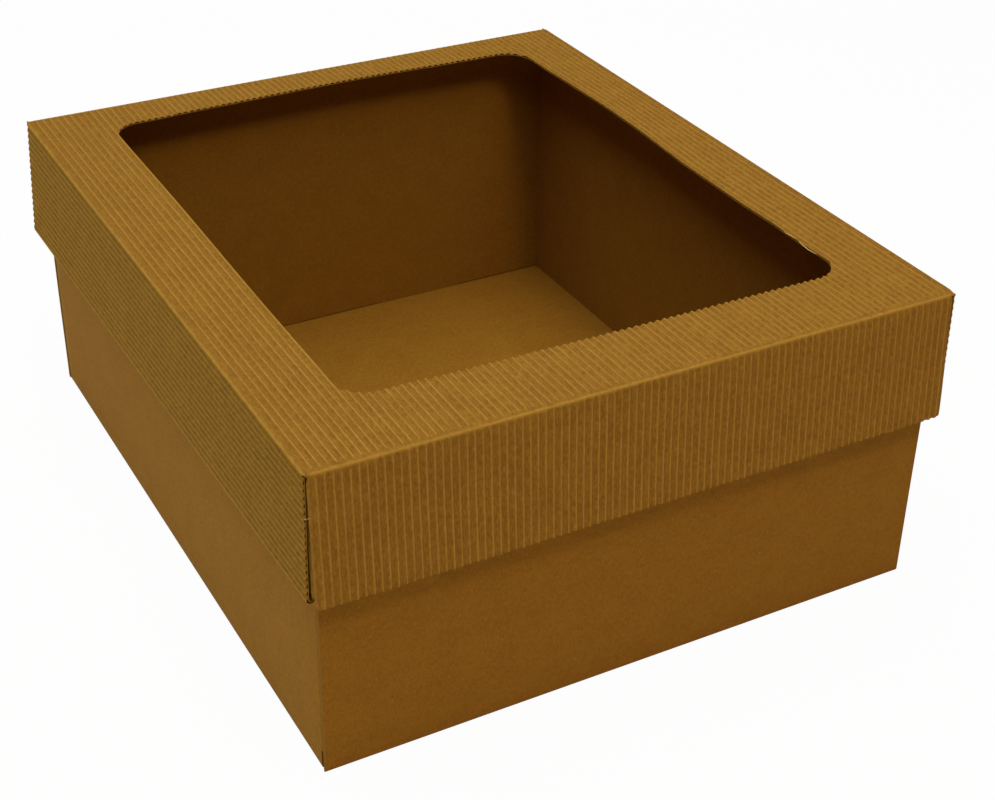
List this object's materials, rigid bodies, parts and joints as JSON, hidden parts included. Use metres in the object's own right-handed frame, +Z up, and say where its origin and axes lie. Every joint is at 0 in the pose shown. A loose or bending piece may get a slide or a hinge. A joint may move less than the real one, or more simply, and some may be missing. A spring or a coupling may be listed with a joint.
{
  "type": "cardboard tray box",
  "caption": "Rectangular brown cardboard tray box with a lift-off fluted lid that has a round-cornered open window in its top.",
  "frame": {"origin": "on the floor, under the middle of the box", "axes": "+X to the right along the short front wall, +Y from the front wall to the back wall, +Z up"},
  "size_m": [0.3, 0.3606, 0.149],
  "materials": {
    "plain_board": "matt brown kraft paper, smooth, with fine fibre specks",
    "fluted_board": "matt brown kraft paper on open flutes, slightly paler on the crests"
  },
  "bodies": {
    "tray": {"tray": "plain_board"},
    "lid": {"lid": "fluted_board"}
  },
  "joints": [
    {"name": "lid_lift", "type": "slide", "parent": "tray", "child": "lid", "axis": [0, 0, 1], "range_m": [0, 0.08]}
  ]
}
